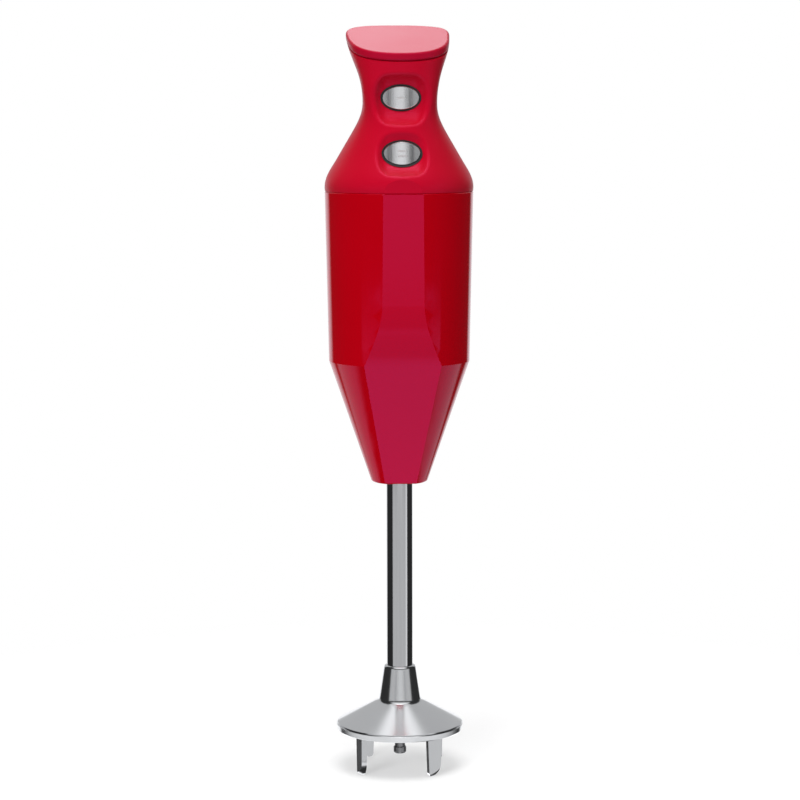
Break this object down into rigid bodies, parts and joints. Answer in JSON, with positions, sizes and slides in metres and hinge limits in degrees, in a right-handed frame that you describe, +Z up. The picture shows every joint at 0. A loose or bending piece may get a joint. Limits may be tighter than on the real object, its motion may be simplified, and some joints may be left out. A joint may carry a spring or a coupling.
{
  "type": "immersion blender",
  "caption": "Hand-held stick blender: red motor body, waisted handle with two oval buttons and sloping cap, steel shaft tube and pronged bell guard.",
  "frame": {"origin": "on the drive axis, level with the tips of the guard prongs that the blender stands on", "axes": "+Z up along the drive axis towards the handle, -Y towards the front face that carries the two buttons, +Y towards the cord inlet, +X to the right seen from the front"},
  "size_m": [0.067, 0.0648, 0.3398],
  "materials": {
    "guard_aluminium": "polished",
    "tube_steel": "mirror polished stainless tube",
    "seal_rubber": "matt",
    "bronze": "sintered bronze",
    "steel": "ground",
    "screw_steel": "zinc plated",
    "housing_red": "high gloss red",
    "handle_red": "satin red",
    "cap_red": "satin red, fine grain",
    "gland_black": "matt black",
    "button_metal": "brushed, vertical grain",
    "button_seal": "black",
    "spring_steel": "bright wire",
    "inner_plastic": "natural nylon",
    "board": "green lacquered laminate",
    "switch_plastic": "moulded",
    "plunger_plastic": "moulded",
    "capacitor_plastic": "moulded",
    "diode_plastic": "moulded",
    "lamination": "stacked silicon steel",
    "copper_wire": "enamelled copper wire",
    "bracket_alloy": "die cast",
    "bearing_steel": "ground",
    "brush_plastic": "moulded",
    "carbon": "graphite",
    "drive_steel": "hardened, turned",
    "coupling_plastic": "natural acetal",
    "coupling_rubber": "nitrile",
    "commutator_copper": "turned copper bars"
  },
  "bodies": {
    "blender": {"board_screws": "screw_steel", "bracket_screws": "screw_steel", "brush_holder_left": "brush_plastic", "brush_holder_right": "brush_plastic", "brush_left": "carbon", "brush_right": "carbon", "brush_spring_left": "spring_steel", "brush_spring_right": "spring_steel", "cord_gland": "gland_black", "field_coil_left": "copper_wire", "field_coil_right": "copper_wire", "guard": "guard_aluminium", "handle_housing": "handle_red", "lower_bearing": "bearing_steel", "lower_bracket": "bracket_alloy", "lower_bush": "bronze", "lower_housing": "housing_red", "micro_switch_speed_1": "switch_plastic", "micro_switch_speed_2": "switch_plastic", "motor_bolts": "screw_steel", "motor_cushion": "seal_rubber", "motor_screws": "screw_steel", "nose_seal": "seal_rubber", "seal_speed_1": "button_seal", "seal_speed_2": "button_seal", "seam_gasket": "seal_rubber", "shaft_seal": "seal_rubber", "shaft_tube": "tube_steel", "speed_diode": "diode_plastic", "spring_speed_1": "spring_steel", "spring_speed_2": "spring_steel", "stator_core": "lamination", "suppressor_capacitor": "capacitor_plastic", "switch_board": "board", "switch_bracket": "inner_plastic", "top_cap": "cap_red", "tube_flange": "steel", "tube_screws": "screw_steel", "upper_bearing": "bearing_steel", "upper_bracket": "bracket_alloy", "upper_bush": "bronze"},
    "button_1": {"button_speed_1": "button_metal"},
    "button_2": {"button_speed_2": "button_metal"},
    "plunger_1": {"switch_plunger_speed_1": "plunger_plastic"},
    "plunger_2": {"switch_plunger_speed_2": "plunger_plastic"},
    "rotor": {"drive_shaft": "drive_steel", "motor_shaft": "steel", "coupling_lower": "coupling_plastic", "coupling_upper": "coupling_plastic", "coupling_disc": "coupling_rubber", "armature_core": "lamination", "armature_winding": "copper_wire", "commutator": "commutator_copper"}
  },
  "joints": [
    {"name": "button_1_press", "type": "slide", "parent": "blender", "child": "button_1", "axis": [0, 1, 0], "range_m": [0, 0.0016], "stiffness_N_per_m": 900, "springref_m": -0.0012, "deforming": ["spring_speed_1"]},
    {"name": "button_2_press", "type": "slide", "parent": "blender", "child": "button_2", "axis": [0, 1, 0], "range_m": [0, 0.0016], "stiffness_N_per_m": 900, "springref_m": -0.0012, "deforming": ["spring_speed_2"]},
    {"name": "plunger_1_press", "type": "slide", "parent": "blender", "child": "plunger_1", "axis": [0, 1, 0], "range_m": [0, 0.0016], "stiffness_N_per_m": 15, "springref_m": -0.0012},
    {"name": "plunger_2_press", "type": "slide", "parent": "blender", "child": "plunger_2", "axis": [0, 1, 0], "range_m": [0, 0.0016], "stiffness_N_per_m": 15, "springref_m": -0.0012},
    {"name": "rotor_spin", "type": "hinge", "parent": "blender", "child": "rotor", "pos_m": [0, 0, 0.2], "axis": [0, 0, 1], "continuous": true}
  ],
  "couplings": [
    {"joint": "plunger_1_press", "follows": "button_1_press", "ratio": 1},
    {"joint": "plunger_2_press", "follows": "button_2_press", "ratio": 1}
  ]
}
